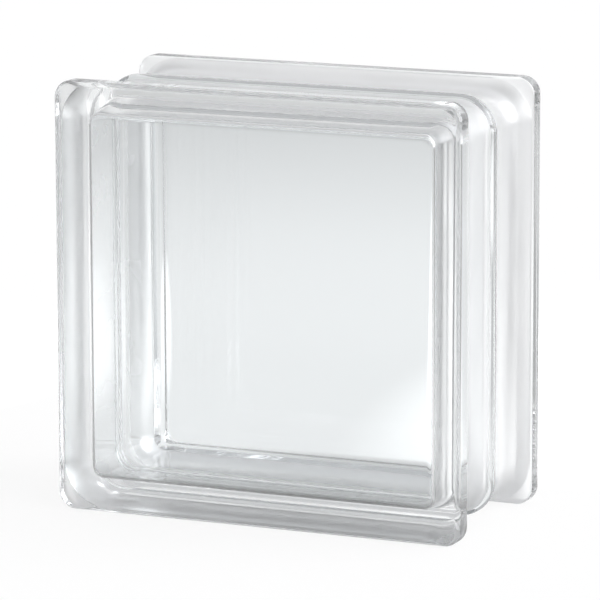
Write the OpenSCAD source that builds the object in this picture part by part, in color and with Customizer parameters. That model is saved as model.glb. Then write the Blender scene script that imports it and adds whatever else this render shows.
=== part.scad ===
// Hollow glass block for walls and windows, standing on its bottom edge.
// Millimetres, Z up, front pane towards -Y, thickness along Y.
// Two pressed half shells are fused at the middle seam into one piece with a sealed air space.

/* [Overall size] */
// Width of the pane edge to edge
block_w = 197; // [150:1:300]
// Height of the pane edge to edge
block_h = 197; // [150:1:300]
// Thickness from front pane to back pane
block_d = 98; // [80:1:120]

/* [Pane flanges] */
// Thickness of the square rim round each pane
flange_t = 10; // [9:0.5:14]
// Radius of the pane corners
flange_corner_r = 8; // [6:0.5:12]
// Rounding of the edge between pane and rim
face_edge_r = 2.5; // [1:0.25:4]
// Rounding of the rim edge on the mortar side
back_edge_r = 1.5; // [0.5:0.25:2]

/* [Mortar channel] */
// Depth of the seam crest below the rim
seam_recess = 2.6; // [2:0.1:3.5]
// Corner radius of the body along the seam
seam_corner_r = 17.4; // [14:0.1:22]
// Radius of the fused bead along the seam
seam_bead_r = 2.2; // [1.5:0.1:2.5]
// Depth of the channel floor below the rim
channel_depth = 5.2; // [4.5:0.1:6]
// Radius of the hollow channel curve
channel_r = 76; // [70:1:90]
// Distance of the channel floor from the seam
channel_offset = 12.3; // [11:0.1:14]

/* [Air space] */
// Thickness of the glass pane
pane_t = 8; // [6:0.5:10]
// Thickness of the side wall at the seam
wall_t = 7.2; // [6:0.1:8]
// Distance from the rim to the flat inside of the pane
inner_flat_inset = 17.5; // [17:0.5:22]
// Fillet between side wall and pane
inner_fillet_r = 3; // [2:0.5:4]
// Corner radius of the flat inside of the pane
inner_corner_r = 2.5; // [2:0.5:6]
// Radius of the low ridge that the fused seam leaves inside
inner_ridge_r = 1; // [0.6:0.1:1.4]

/* [Hidden] */
$fn = 96;
half_d = block_d / 2;
mid_d = half_d - flange_t / 2;
seam_reach = seam_corner_r + seam_recess;
cavity_d = half_d - pane_t;
cavity_inset = seam_recess + wall_t;
cavity_reach = inner_flat_inset + inner_corner_r - cavity_inset;
fillet_y = cavity_d - inner_fillet_r;
// Draft of the side wall, on the tangent from the seam to the fillet
wall_run = inner_flat_inset - cavity_inset;
wall_draft = acos(inner_fillet_r / norm([wall_run, fillet_y])) - atan2(fillet_y, wall_run);
wall_foot = inner_corner_r + inner_fillet_r * cos(wall_draft);
wall_rise = fillet_y + inner_fillet_r * sin(wall_draft);

// Node to draw

// Sweeps a half section round a rounded rectangle, centred on the block.
// The section starts at the corner axis, which lies inset + reach inside the rim.
module sweep_round(inset, reach, low, high) {
    cx = block_w / 2 - inset - reach;
    cz = block_h / 2 - inset - reach;
    translate([-cx, low, -cz])
        cube([2 * cx, high - low, 2 * cz]);
    for (side = [0, 1]) {
        rotate([0, 180 * side, 0])
            translate([cx, 0, -cz])
                linear_extrude(2 * cz)
                    children();
        rotate([0, 180 * side, 0])
            rotate([0, -90, 0])
                translate([cz, 0, -cx])
                    linear_extrude(2 * cx)
                        children();
    }
    for (sx = [0, 1])
        for (sz = [0, 1])
            mirror([sx, 0, 0])
                mirror([0, 0, sz])
                    translate([cx, 0, cz])
                        rotate([-90, 0, 0])
                            mirror([0, 1, 0])
                                rotate_extrude(angle = 90)
                                    children();
}

// Section of a pane rim with two rounded edges, pane side at the top.
module rim_section() {
    square([flange_corner_r - face_edge_r, flange_t]);
    square([flange_corner_r - back_edge_r, flange_t - face_edge_r]);
    translate([0, back_edge_r])
        square([flange_corner_r, flange_t - face_edge_r - back_edge_r]);
    translate([flange_corner_r - face_edge_r, flange_t - face_edge_r])
        circle(face_edge_r);
    translate([flange_corner_r - back_edge_r, back_edge_r])
        circle(back_edge_r);
}

// Section of the body between the rims: two hollow channel curves and the seam bead.
module channel_section() {
    difference() {
        translate([0, -mid_d])
            square([seam_reach, 2 * mid_d]);
        for (side = [-1, 1])
            translate([seam_reach - channel_depth + channel_r, side * channel_offset])
                circle(channel_r, $fn = 360);
    }
    translate([seam_corner_r - seam_bead_r, 0])
        circle(seam_bead_r);
}

// Section of the air space: flat insides of the panes, fillets, drafted side walls and the seam ridge.
module air_section() {
    translate([0, -cavity_d])
        square([inner_corner_r, 2 * cavity_d]);
    difference() {
        polygon([
            [0, -fillet_y],
            [inner_corner_r, -fillet_y],
            [wall_foot, -wall_rise],
            [cavity_reach, 0],
            [wall_foot, wall_rise],
            [inner_corner_r, fillet_y],
            [0, fillet_y]
        ]);
        translate([cavity_reach, 0])
            circle(inner_ridge_r);
    }
    for (side = [-1, 1])
        translate([inner_corner_r, side * fillet_y])
            intersection() {
                circle(inner_fillet_r);
                translate([0, -inner_fillet_r])
                    square([inner_fillet_r, 2 * inner_fillet_r]);
            }
}

// One pane with its rim, on the front or the back side.
module pane_plate() {
    translate([0, half_d - flange_t, 0])
        sweep_round(0, flange_corner_r, 0, flange_t)
            rim_section();
}

// Sealed air space between the panes.
module air_space() {
    sweep_round(cavity_inset, cavity_reach, -cavity_d, cavity_d)
        air_section();
}

module glass_block() {
    color([0.80, 0.88, 0.87, 0.4])
        translate([0, 0, block_h / 2])
            difference() {
                union() {
                    pane_plate();
                    mirror([0, 1, 0])
                        pane_plate();
                    sweep_round(0, seam_reach, -mid_d, mid_d)
                        channel_section();
                }
                air_space();
            }
}

glass_block();
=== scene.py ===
import math

import bmesh
import bpy
from mathutils import Matrix, Vector


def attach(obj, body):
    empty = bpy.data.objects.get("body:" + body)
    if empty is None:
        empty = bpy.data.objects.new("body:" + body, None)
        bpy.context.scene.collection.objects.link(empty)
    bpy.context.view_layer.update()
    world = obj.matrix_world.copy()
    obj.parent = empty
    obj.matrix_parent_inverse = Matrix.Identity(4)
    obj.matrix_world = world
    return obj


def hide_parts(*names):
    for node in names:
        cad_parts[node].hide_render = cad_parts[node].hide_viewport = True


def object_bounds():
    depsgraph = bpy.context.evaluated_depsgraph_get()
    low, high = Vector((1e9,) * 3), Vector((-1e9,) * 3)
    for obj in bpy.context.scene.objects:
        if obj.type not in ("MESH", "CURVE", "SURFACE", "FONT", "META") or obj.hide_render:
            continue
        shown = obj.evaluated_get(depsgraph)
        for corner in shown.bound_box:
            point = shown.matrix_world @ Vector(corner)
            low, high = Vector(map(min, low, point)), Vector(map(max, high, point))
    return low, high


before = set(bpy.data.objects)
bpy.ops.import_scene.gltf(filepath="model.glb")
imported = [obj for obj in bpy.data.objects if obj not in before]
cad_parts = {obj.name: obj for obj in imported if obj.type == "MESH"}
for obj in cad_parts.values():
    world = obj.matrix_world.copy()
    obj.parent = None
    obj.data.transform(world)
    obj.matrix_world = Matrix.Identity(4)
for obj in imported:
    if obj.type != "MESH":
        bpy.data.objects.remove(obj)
cad_low, cad_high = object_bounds()

# Overall sizes in metres, from the frame
WIDTH = round(cad_high[0] - cad_low[0], 4)
HALF = WIDTH / 2
HALF_DEPTH = round((cad_high[1] - cad_low[1]) / 2, 4)

# Sizes of the rims, the mortar channel and the air space in metres, as in the part's source
RIM_DEPTH = 0.010
RIM_CORNER = 0.008
FACE_EDGE = 0.0025
BACK_EDGE = 0.0015
SEAM_RECESS = 0.0026
SEAM_CORNER = 0.0174
BEAD = 0.0022
CHANNEL_DEPTH = 0.0052
CHANNEL_RADIUS = 0.076
CHANNEL_OFFSET = 0.0123
PANE = 0.008
WALL = 0.0072
FLAT_INSET = 0.0175
FILLET = 0.003
FLAT_CORNER = 0.0025
RIDGE = 0.001

# The rings are laid out in millimetres and brought to metres at the end
BENCH = 1000
# Steps of the corners and of each stretch of the section
CORNER_STEPS = 20
RING_SIZE = 4 * (CORNER_STEPS + 1)
FACE_EDGE_STEPS = 10
BACK_EDGE_STEPS = 6
CHANNEL_STEPS = 34
BEAD_STEPS = 10
FILLET_STEPS = 14
WALL_STEPS = 8
RIDGE_STEPS = 8
# A ring this far inside each pane's edge keeps the flat of the pane flat
PANE_HOLD = 0.0012
# The rim's rounded edge turns this far, and the channel's first ring lies a little below the rim
BACK_EDGE_TURN = 60
RIM_CLEARANCE = 0.0006
# The satin coat ends in the rounded edge of the rims
COAT_REACH = 0.0398

# Glass, fused seam tinted grey as painted shade, and satin coat
GLASS_COLOUR = (0.974, 0.99, 0.995, 1)
SEAM_PAINTED_SHADE_COLOUR = (0.6, 0.62, 0.63, 1)
COAT_COLOUR = (0.985, 0.99, 0.995, 1)
GLASS_IOR = 1.51
COAT_TRANSMISSION = 0.88
WAVE_SCALE, WAVE_FINENESS, WAVE_DEPTH = 16.0, 0.0, 0.00008
MOTTLING_SCALE, MOTTLING_FINENESS, MOTTLING_DEPTH = 45.0, 1.0, 0.000008
FILM_ROUGHNESS = 0.006
COAT_ROUGHNESS_OUTSIDE = 0.38
COAT_ROUGHNESS_INSIDE = (0.25, 0.14)

# Floor: its colour, and the painted light and shade that the glass shows on it
FLOOR_SIZE = 8
FLOOR_DROP = 0.0002
FLOOR_COLOUR = (0.9, 0.9, 0.9, 1)
FLOOR_ROUGHNESS = 0.9
FLOOR_GLOW_SHARE = 0.88
NEAR_GLOW, FAR_GLOW = 0.94, 0.56
FRONT_GLOW, FAR_FRONT_GLOW = 0.4, 0.9
PAINTED_SHADOW_UNDER = 0.5
SIDE_SHADE = 0.6
# Brighter pools on the floor: middle and reach across, middle and reach along, and gain
LIGHT_POOLS = (
    (0.06, 0.12, 0.48, 0.42, 1.58),
    (-0.42, 0.2, 0.2, 0.2, 1.45),
    (0.45, 0.3, 0.9, 0.3, 1.9),
)
# Sideways run of the light that the block's side frames show, for each metre backwards
SIDE_RUN = 0.45

# Studio surround: brightness of the room in front, behind and overhead, and soft lights as axis and strength
ROOM_COLOUR = (0.985, 0.985, 1.0, 1)
ROOM_FRONT, ROOM_BEHIND, ROOM_OVERHEAD = 0.4, 0.65, 1.15
SOFT_LIGHTS = (((0.66, 0.72, 0.21), 0.5), ((0.98, 0.05, 0.19), 3.8))

# Camera of the photo: turn, tilt, roll, distance, shift of the aim, and focal length in pixels
YAW, PITCH, ROLL = math.radians(23.76), math.radians(11.04), math.radians(-0.16)
CAMERA_DISTANCE = 2.1464
AIM_RIGHT, AIM_UP = 0.000684, -0.003193
FOCAL_PIXELS = 4738.17
FRAME_PIXELS = 600
SENSOR = 36
LIGHT_BOUNCES = 32


def arc(centre, radius, start, end, steps):
    """Points of a circle arc in the section plane, as (inset, depth) pairs."""
    points = []
    for i in range(steps + 1):
        a = math.radians(start + (end - start) * i / steps)
        points.append((centre[0] - radius * math.cos(a), centre[1] + radius * math.sin(a)))
    return points


def channel_inset(depth):
    """Inset of the mortar channel below the rim at a depth from the seam."""
    away = abs(abs(depth) - CHANNEL_OFFSET)
    inset = CHANNEL_DEPTH - CHANNEL_RADIUS + math.sqrt(CHANNEL_RADIUS ** 2 - away ** 2)
    if abs(depth) < BEAD:
        inset = min(inset, SEAM_RECESS + BEAD - math.sqrt(BEAD ** 2 - depth ** 2))
    return max(inset, 0.0)


def both_halves(half, crest):
    """The rings of the back half, the ring on the seam, and the front half as its mirror image."""
    return half + [crest] + [(inset, -depth, radius) for inset, depth, radius in reversed(half)]


def outer_rings():
    """Rings of the outside from the back pane to the front pane: inset, depth, corner radius."""
    half = [(FACE_EDGE + PANE_HOLD, HALF_DEPTH, RIM_CORNER - FACE_EDGE - PANE_HOLD)]
    for inset, depth in arc((FACE_EDGE, HALF_DEPTH - FACE_EDGE), FACE_EDGE, 90, 0, FACE_EDGE_STEPS):
        half.append((inset, depth, RIM_CORNER - inset))
    rim_low = HALF_DEPTH - RIM_DEPTH
    edge_centre = (BACK_EDGE, rim_low + BACK_EDGE)
    for inset, depth in arc(edge_centre, BACK_EDGE, 0, -BACK_EDGE_TURN, BACK_EDGE_STEPS):
        half.append((inset, depth, RIM_CORNER - inset))
    reach = SEAM_CORNER + SEAM_RECESS
    first = rim_low - RIM_CLEARANCE
    for i in range(CHANNEL_STEPS + 1):
        depth = first + (BEAD - first) * i / CHANNEL_STEPS
        inset = channel_inset(depth)
        half.append((inset, depth, reach - inset))
    for i in range(1, BEAD_STEPS):
        depth = BEAD * math.cos(math.radians(90 * i / BEAD_STEPS))
        inset = channel_inset(depth)
        half.append((inset, depth, reach - inset))
    return both_halves(half, (SEAM_RECESS, 0.0, SEAM_CORNER))


def air_rings():
    """Rings of the air space from the back pane to the front pane: inset, depth, corner radius."""
    air_depth = HALF_DEPTH - PANE
    seam_inset = SEAM_RECESS + WALL
    run = FLAT_INSET - seam_inset
    fillet_depth = air_depth - FILLET
    draft = math.degrees(math.acos(FILLET / math.hypot(run, fillet_depth)) - math.atan2(fillet_depth, run))
    reach = FLAT_INSET + FLAT_CORNER
    half = [(FLAT_INSET + PANE_HOLD, air_depth, FLAT_CORNER - PANE_HOLD)]
    for inset, depth in arc((FLAT_INSET, fillet_depth), FILLET, 90, draft, FILLET_STEPS):
        half.append((inset, depth, reach - inset))
    foot_inset, foot_depth, _ = half[-1]
    slope = (foot_inset - seam_inset) / foot_depth
    for i in range(1, WALL_STEPS + 1):
        depth = foot_depth + (RIDGE - foot_depth) * i / WALL_STEPS
        inset = seam_inset + slope * depth
        half.append((inset, depth, reach - inset))
    for i in range(1, RIDGE_STEPS):
        depth = RIDGE * math.cos(math.radians(90 * i / RIDGE_STEPS))
        inset = seam_inset + max(slope * depth, math.sqrt(RIDGE ** 2 - depth ** 2))
        half.append((inset, depth, reach - inset))
    return both_halves(half, (seam_inset + RIDGE, 0.0, reach - seam_inset - RIDGE))


def add_ring(inset, depth, radius):
    """Adds one rounded square of edges to the mesh in edit mode."""
    side = (WIDTH - 2 * inset) * BENCH
    place = (0, depth * BENCH, HALF * BENCH)
    bpy.ops.mesh.select_all(action="DESELECT")
    bpy.ops.mesh.primitive_plane_add(size=side, location=place, rotation=(math.pi / 2, 0, 0))
    bpy.ops.mesh.bevel(
        offset=radius * BENCH, segments=CORNER_STEPS, profile=0.5, affect="VERTICES", clamp_overlap=False
    )
    bpy.ops.mesh.delete(type="ONLY_FACE")


def select_rings(mesh, first, count):
    """Selects whole rings of the mesh in edit mode by their place in the stack."""
    bpy.ops.mesh.select_all(action="DESELECT")
    bm = bmesh.from_edit_mesh(mesh)
    bm.verts.ensure_lookup_table()
    for v in bm.verts[first * RING_SIZE:(first + count) * RING_SIZE]:
        v.select = True
    bm.select_flush(True)
    bmesh.update_edit_mesh(mesh)


def ring_stack(name, rings):
    """A closed skin through a stack of rounded squares, with flat caps at both ends."""
    bpy.ops.object.select_all(action="DESELECT")
    bpy.ops.mesh.primitive_plane_add(size=1)
    skin = bpy.context.object
    skin.name = name
    bpy.ops.object.mode_set(mode="EDIT")
    bpy.ops.mesh.select_mode(type="VERT")
    bpy.ops.mesh.select_all(action="SELECT")
    bpy.ops.mesh.delete(type="VERT")
    for number, ring in enumerate(rings):
        add_ring(*ring)
        if number > 0:
            select_rings(skin.data, number - 1, 2)
            bpy.ops.mesh.bridge_edge_loops()
    for end in (0, len(rings) - 1):
        select_rings(skin.data, end, 1)
        bpy.ops.mesh.edge_face_add()
    bpy.ops.mesh.select_all(action="SELECT")
    bpy.ops.mesh.normals_make_consistent(inside=False)
    bpy.ops.object.mode_set(mode="OBJECT")
    skin.scale = (1 / BENCH, 1 / BENCH, 1 / BENCH)
    bpy.ops.object.transform_apply(location=True, rotation=True, scale=True)
    bpy.ops.object.shade_smooth()
    return skin


def maths(tree, operation, first, second=0.0):
    """A math node on two values or sockets; returns its result."""
    node = tree.nodes.new("ShaderNodeMath")
    node.operation = operation
    for number, value in enumerate((first, second)):
        if isinstance(value, (int, float)):
            node.inputs[number].default_value = value
        else:
            tree.links.new(value, node.inputs[number])
    return node.outputs[0]


def fade(tree, value, start, end, low, high, shape="SMOOTHSTEP"):
    """A step from low to high while the value goes from start to end."""
    node = tree.nodes.new("ShaderNodeMapRange")
    node.interpolation_type = shape
    tree.links.new(value, node.inputs["Value"])
    node.inputs["From Min"].default_value = start
    node.inputs["From Max"].default_value = end
    node.inputs["To Min"].default_value = low
    node.inputs["To Max"].default_value = high
    return node.outputs["Result"]


def detail_group():
    """Shared surface detail of pressed glass: soft noise at a given scale and fineness, as a height."""
    group = bpy.data.node_groups.new("pressed_glass_detail", "ShaderNodeTree")
    group.interface.new_socket("Scale", in_out="INPUT", socket_type="NodeSocketFloat")
    group.interface.new_socket("Fineness", in_out="INPUT", socket_type="NodeSocketFloat")
    group.interface.new_socket("Height", in_out="OUTPUT", socket_type="NodeSocketFloat")
    given = group.nodes.new("NodeGroupInput")
    result = group.nodes.new("NodeGroupOutput")
    place = group.nodes.new("ShaderNodeTexCoord")
    noise = group.nodes.new("ShaderNodeTexNoise")
    group.links.new(place.outputs["Object"], noise.inputs["Vector"])
    group.links.new(given.outputs["Scale"], noise.inputs["Scale"])
    group.links.new(given.outputs["Fineness"], noise.inputs["Detail"])
    group.links.new(noise.outputs["Fac"], result.inputs["Height"])
    return group


def surface_detail(material, group, scale, fineness, depth):
    """Bumps a material's shader with the shared detail at its own scale; returns the detail's height."""
    tree = material.node_tree
    detail = tree.nodes.new("ShaderNodeGroup")
    detail.node_tree = group
    detail.inputs["Scale"].default_value = scale
    detail.inputs["Fineness"].default_value = fineness
    bump = tree.nodes.new("ShaderNodeBump")
    bump.inputs["Strength"].default_value = 1.0
    bump.inputs["Distance"].default_value = depth
    tree.links.new(detail.outputs["Height"], bump.inputs["Height"])
    tree.links.new(bump.outputs["Normal"], tree.nodes["Principled BSDF"].inputs["Normal"])
    return detail.outputs["Height"]


def pressed_glass(name, colour, group):
    """Clear glass of one colour: barely wavy, with the faintest film in its roughness."""
    material = bpy.data.materials.new(name)
    material.use_nodes = True
    tree = material.node_tree
    shader = tree.nodes["Principled BSDF"]
    shader.inputs["Base Color"].default_value = colour
    shader.inputs["IOR"].default_value = GLASS_IOR
    shader.inputs["Transmission Weight"].default_value = 1.0
    waves = surface_detail(material, group, WAVE_SCALE, WAVE_FINENESS, WAVE_DEPTH)
    film = fade(tree, waves, 0.4, 0.7, 0.0, FILM_ROUGHNESS)
    tree.links.new(film, shader.inputs["Roughness"])
    return material


def satin_channel_coat(group):
    """Satin coat: matt from outside, smoother the flatter it is looked along from inside the glass."""
    material = bpy.data.materials.new("satin_channel_coat")
    material.use_nodes = True
    tree = material.node_tree
    shader = tree.nodes["Principled BSDF"]
    shader.inputs["Base Color"].default_value = COAT_COLOUR
    shader.inputs["IOR"].default_value = GLASS_IOR
    shader.inputs["Transmission Weight"].default_value = COAT_TRANSMISSION
    mottling = surface_detail(material, group, MOTTLING_SCALE, MOTTLING_FINENESS, MOTTLING_DEPTH)
    slant = tree.nodes.new("ShaderNodeLayerWeight").outputs["Facing"]
    inside = fade(tree, slant, 0.35, 0.72, *COAT_ROUGHNESS_INSIDE, "LINEAR")
    side_mix = tree.nodes.new("ShaderNodeMix")
    backfacing = tree.nodes.new("ShaderNodeNewGeometry").outputs["Backfacing"]
    tree.links.new(backfacing, side_mix.inputs["Factor"])
    side_mix.inputs["A"].default_value = COAT_ROUGHNESS_OUTSIDE
    tree.links.new(inside, side_mix.inputs["B"])
    uneven = fade(tree, mottling, 0.3, 0.7, 0.88, 1.12)
    roughness = maths(tree, "MULTIPLY", side_mix.outputs["Result"], uneven)
    tree.links.new(roughness, shader.inputs["Roughness"])
    return material


def glass_block():
    """The block in one mesh: the outside skin, and the skin of the air space turned to face the air."""
    group = detail_group()
    glass = pressed_glass("clear_pressed_glass", GLASS_COLOUR, group)
    rings = outer_rings()
    block = ring_stack("glass_block_clear", rings)
    block.data.materials.append(glass)
    block.data.materials.append(satin_channel_coat(group))
    block.data.materials.append(pressed_glass("seam_glass_painted_shade", SEAM_PAINTED_SHADE_COLOUR, group))
    # The coat covers the hollow of the channel on both sides of the seam bead
    bpy.ops.object.mode_set(mode="EDIT")
    block.active_material_index = 1
    for side in (-1, 1):
        coated = [i for i, (_, depth, _) in enumerate(rings) if BEAD <= side * depth < COAT_REACH]
        select_rings(block.data, coated[0], len(coated))
        bpy.ops.object.material_slot_assign()
    # The fused bead is clear glass tinted grey: painted shade for the dark line along the seam
    block.active_material_index = 2
    fused = [i for i, (_, depth, _) in enumerate(rings) if abs(depth) < 1.001 * BEAD]
    select_rings(block.data, fused[0], len(fused))
    bpy.ops.object.material_slot_assign()
    bpy.ops.object.mode_set(mode="OBJECT")

    air = ring_stack("air_space", air_rings())
    air.data.materials.append(glass)
    bpy.ops.object.mode_set(mode="EDIT")
    bpy.ops.mesh.select_all(action="SELECT")
    bpy.ops.mesh.flip_normals()
    bpy.ops.object.mode_set(mode="OBJECT")
    bpy.ops.object.select_all(action="DESELECT")
    air.select_set(True)
    block.select_set(True)
    bpy.context.view_layer.objects.active = block
    bpy.ops.object.join()
    return block


def spread(tree, px, py, x, width, y, height):
    """Squared distance of a place on the floor from a point, in units of an ellipse."""
    across = maths(tree, "MULTIPLY", maths(tree, "SUBTRACT", px, x), 1 / width)
    along = maths(tree, "MULTIPLY", maths(tree, "SUBTRACT", py, y), 1 / height)
    across_squared = maths(tree, "MULTIPLY", across, across)
    along_squared = maths(tree, "MULTIPLY", along, along)
    return maths(tree, "ADD", across_squared, along_squared)


def painted_floor_light(tree):
    """How bright the glass shows the floor, all painted light and shade: dimmer far behind, painted shade in
    front, a painted shadow beneath and painted shade beside the block, and painted pools of light.
    """
    place = tree.nodes.new("ShaderNodeSeparateXYZ")
    tree.links.new(tree.nodes.new("ShaderNodeTexCoord").outputs["Object"], place.inputs["Vector"])
    px, py = place.outputs["X"], place.outputs["Y"]

    # Painted falloff of light with distance from the block
    distance = maths(tree, "SQRT", spread(tree, px, py, 0.1, 1.0, 0.1, 1.0))
    far = fade(tree, distance, 0.3, 1.5, NEAR_GLOW, FAR_GLOW)

    # Painted shade just in front of the block, but open towards the right and further out
    open_right = maths(tree, "MULTIPLY", maths(tree, "MAXIMUM", maths(tree, "SUBTRACT", px, 0.05)), 0.8)
    bend = maths(tree, "MULTIPLY", maths(tree, "ABSOLUTE", px), 0.1)
    edge = maths(tree, "ADD", maths(tree, "SUBTRACT", py, bend), open_right)
    near_front = fade(tree, edge, -0.06, 0.04, FRONT_GLOW, 1.0)
    far_front = fade(tree, py, -0.6, -0.2, FAR_FRONT_GLOW, 0.0)
    front = maths(tree, "MAXIMUM", near_front, far_front)

    # Shade behind the block's right side
    across = maths(tree, "SUBTRACT", px, maths(tree, "MULTIPLY", py, SIDE_RUN))
    shade_edge = fade(tree, across, -0.06, 0.08, 0.0, 1.0)
    shade = maths(tree, "MULTIPLY", shade_edge, fade(tree, py, 0.1, 0.35, 0.0, SIDE_SHADE))
    beside = maths(tree, "SUBTRACT", 1.0, shade)

    # Painted shadow beneath the block
    painted_shadow = fade(tree, spread(tree, px, py, 0.06, 0.13, 0.0, 0.065), 0.2, 1.8, PAINTED_SHADOW_UNDER, 1.0)
    shown = far
    for part in (front, beside, painted_shadow):
        shown = maths(tree, "MULTIPLY", shown, part)
    for x, width, y, height, gain in LIGHT_POOLS:
        pool = fade(tree, spread(tree, px, py, x, width, y, height), 0.3, 1.4, gain, 1.0)
        shown = maths(tree, "MULTIPLY", shown, pool)
    return shown


def pale_floor():
    """A floor that is white to the camera, takes the block's shadow, and glows with painted light and shade
    as the glass shows it.
    """
    bpy.ops.object.select_all(action="DESELECT")
    bpy.ops.mesh.primitive_plane_add(size=FLOOR_SIZE, location=(0, 0, -FLOOR_DROP))
    floor = bpy.context.object
    floor.name = "floor"
    paper = bpy.data.materials.new("pale_floor")
    paper.use_nodes = True
    tree = paper.node_tree
    shader = tree.nodes["Principled BSDF"]
    shader.inputs["Base Color"].default_value = FLOOR_COLOUR
    shader.inputs["Roughness"].default_value = FLOOR_ROUGHNESS
    rays = tree.nodes.new("ShaderNodeLightPath").outputs
    glow = tree.nodes.new("ShaderNodeEmission")
    strength = maths(tree, "MAXIMUM", painted_floor_light(tree), rays["Is Camera Ray"])
    tree.links.new(strength, glow.inputs["Strength"])
    glass_ray = maths(tree, "MAXIMUM", rays["Is Glossy Ray"], rays["Is Transmission Ray"])
    seen = maths(tree, "MAXIMUM", rays["Is Camera Ray"], glass_ray)
    blend = tree.nodes.new("ShaderNodeMixShader")
    tree.links.new(maths(tree, "MULTIPLY", seen, FLOOR_GLOW_SHARE), blend.inputs[0])
    tree.links.new(shader.outputs[0], blend.inputs[1])
    tree.links.new(glow.outputs[0], blend.inputs[2])
    tree.links.new(blend.outputs[0], tree.nodes["Material Output"].inputs["Surface"])
    floor.data.materials.append(paper)


def studio_surround():
    """A soft room, brightest behind the block, with soft lights at the right and back right."""
    world = bpy.data.worlds.new("studio")
    bpy.context.scene.world = world
    world.use_nodes = True
    tree = world.node_tree
    tree.nodes.clear()
    output = tree.nodes.new("ShaderNodeOutputWorld")
    background = tree.nodes.new("ShaderNodeBackground")
    tree.links.new(background.outputs["Background"], output.inputs["Surface"])
    background.inputs["Color"].default_value = ROOM_COLOUR
    looking = tree.nodes.new("ShaderNodeTexCoord").outputs["Generated"]
    split = tree.nodes.new("ShaderNodeSeparateXYZ")
    tree.links.new(looking, split.inputs["Vector"])
    room = fade(tree, split.outputs["Y"], -1.0, 0.45, ROOM_FRONT, ROOM_BEHIND)
    overhead = fade(tree, split.outputs["Z"], 0.2, 0.75, 1.0, ROOM_OVERHEAD)
    light = maths(tree, "MULTIPLY", room, overhead)
    for axis, strength in SOFT_LIGHTS:
        towards = tree.nodes.new("ShaderNodeVectorMath")
        towards.operation = "DOT_PRODUCT"
        tree.links.new(looking, towards.inputs[0])
        towards.inputs[1].default_value = axis
        light = maths(tree, "ADD", light, fade(tree, towards.outputs["Value"], 0.55, 0.95, 0.0, strength))
    camera_ray = tree.nodes.new("ShaderNodeLightPath").outputs["Is Camera Ray"]
    tree.links.new(maths(tree, "MAXIMUM", light, camera_ray), background.inputs["Strength"])


def photo_camera():
    """A camera at the photo's angle, aimed near the middle of the block."""
    back = Vector((math.sin(YAW) * math.cos(PITCH), -math.cos(YAW) * math.cos(PITCH), math.sin(PITCH)))
    right = Vector((math.cos(YAW), math.sin(YAW), 0))
    up = back.cross(right)
    right_rolled = right * math.cos(ROLL) + up * math.sin(ROLL)
    up_rolled = up * math.cos(ROLL) - right * math.sin(ROLL)
    camera_data = bpy.data.cameras.new("camera")
    camera = bpy.data.objects.new("camera", camera_data)
    bpy.context.scene.collection.objects.link(camera)
    eye = Vector((0, 0, HALF)) + back * CAMERA_DISTANCE + right_rolled * AIM_RIGHT + up_rolled * AIM_UP
    turn = Matrix((right_rolled, up_rolled, back)).transposed()
    camera.matrix_world = Matrix.Translation(eye) @ turn.to_4x4()
    camera_data.sensor_width = SENSOR
    camera_data.lens = FOCAL_PIXELS * SENSOR / FRAME_PIXELS
    camera_data.clip_end = 50
    bpy.context.scene.camera = camera


block = glass_block()
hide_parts("glass_block")
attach(block, "root")
pale_floor()
studio_surround()
photo_camera()

scene = bpy.context.scene
scene.view_settings.view_transform = "Standard"
scene.cycles.max_bounces = LIGHT_BOUNCES
scene.cycles.transmission_bounces = LIGHT_BOUNCES
scene.cycles.glossy_bounces = LIGHT_BOUNCES
